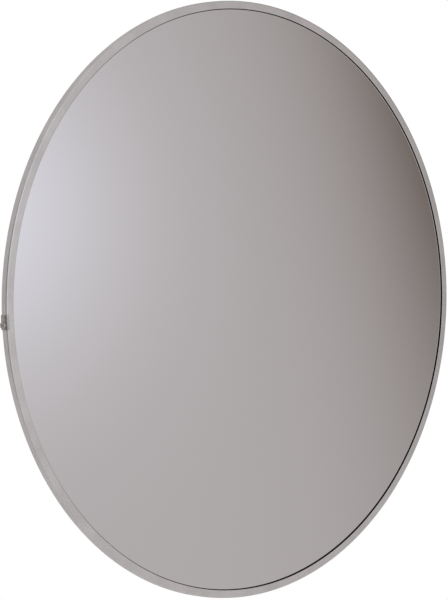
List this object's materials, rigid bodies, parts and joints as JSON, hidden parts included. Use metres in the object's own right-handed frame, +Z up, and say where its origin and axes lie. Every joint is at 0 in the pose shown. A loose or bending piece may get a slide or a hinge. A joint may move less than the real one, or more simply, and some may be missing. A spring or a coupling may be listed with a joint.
{
  "type": "traffic convex mirror",
  "caption": "Round convex safety mirror with a metal channel rim and sheet back, on a telescopic arm with pan and tilt pivots and a flat plate for a wall or post.",
  "frame": {"origin": "centre of the wall plate's rear face, on the axis of the arm and of the mirror", "axes": "+Z up; the mirror faces -Y; +Y points into the wall or post; the rim's saddle is on the -X side"},
  "size_m": [0.7652, 0.323, 0.762],
  "materials": {
    "lens_mirror": "second-surface mirrored acrylic, smooth, slightly soft at the edge",
    "rim_aluminium": "satin mill finish, fine brushing round the ring",
    "saddle_steel": "stainless clip and fasteners, light tarnish",
    "gasket_black": "matt black weather strip",
    "seal_foam": "closed-cell foam strip",
    "pan_galvanised": "hot-dip galvanised sheet with soft spangle",
    "bracket_galvanised": "hot-dip galvanised plate and tube, matt grey",
    "tube_zinc": "bright zinc-plated tube with light slide marks",
    "fastener_zinc": "zinc-plated and passivated",
    "knuckle_cast": "dark grey epoxy over cast iron",
    "bush_bronze": "sintered bronze bearing",
    "pad_brass": "turned brass",
    "nylon_black": "moulded black nylon",
    "nylon_natural": "natural nylon friction discs"
  },
  "bodies": {
    "wall_bracket": {"wall_plate": "bracket_galvanised", "sleeve_tube": "bracket_galvanised", "gusset_plates": "bracket_galvanised", "clamp_boss": "bracket_galvanised", "sleeve_collar": "nylon_black"},
    "clamp_pad_body": {"clamp_pad": "pad_brass"},
    "clamp_handle": {"clamp_screw": "fastener_zinc", "clamp_bar": "fastener_zinc", "clamp_bar_caps": "nylon_black"},
    "arm": {"inner_tube": "tube_zinc", "stop_screw": "fastener_zinc", "stop_nut": "fastener_zinc", "pan_fork": "bracket_galvanised", "pan_bolt": "fastener_zinc", "pan_nut": "fastener_zinc", "pan_washers": "fastener_zinc"},
    "knuckle": {"knuckle_block": "knuckle_cast", "pan_bush": "bush_bronze", "tilt_bush": "bush_bronze", "pan_friction_discs": "nylon_natural", "tilt_friction_discs": "nylon_natural"},
    "mirror_head": {"tilt_clevis": "bracket_galvanised", "tilt_bolt": "fastener_zinc", "tilt_nut": "fastener_zinc", "tilt_washers": "fastener_zinc", "mirror_flange": "bracket_galvanised", "flange_pad": "gasket_black", "flange_bolts": "fastener_zinc", "flange_nuts": "fastener_zinc", "spreader_plate": "bracket_galvanised", "back_pan": "pan_galvanised", "lens_seal": "seal_foam", "mirror_lens": "lens_mirror", "front_gasket": "gasket_black", "rim_channel": "rim_aluminium", "rim_saddle": "saddle_steel", "saddle_strip": "saddle_steel", "rim_screw": "saddle_steel", "rim_rivet": "saddle_steel"}
  },
  "joints": [
    {"name": "arm_extend", "type": "slide", "parent": "wall_bracket", "child": "arm", "axis": [0, -1, 0], "range_m": [0, 0.07]},
    {"name": "pan", "type": "hinge", "parent": "arm", "child": "knuckle", "pos_m": [0, -0.164, 0], "axis": [0, 0, 1], "range_deg": [-45, 45]},
    {"name": "tilt", "type": "hinge", "parent": "knuckle", "child": "mirror_head", "pos_m": [0, -0.21, 0], "axis": [1, 0, 0], "range_deg": [-30, 30]},
    {"name": "clamp_screw_turn", "type": "hinge", "parent": "clamp_pad_body", "child": "clamp_handle", "pos_m": [0, -0.096, 0], "axis": [1, 0, 0], "range_deg": [0, 720]},
    {"name": "clamp_pad_slide", "type": "slide", "parent": "wall_bracket", "child": "clamp_pad_body", "axis": [1, 0, 0], "range_m": [0, 0.0024]}
  ],
  "couplings": [
    {"joint": "clamp_screw_turn", "follows": "clamp_pad_slide", "rad_per_m": 5026.5}
  ]
}
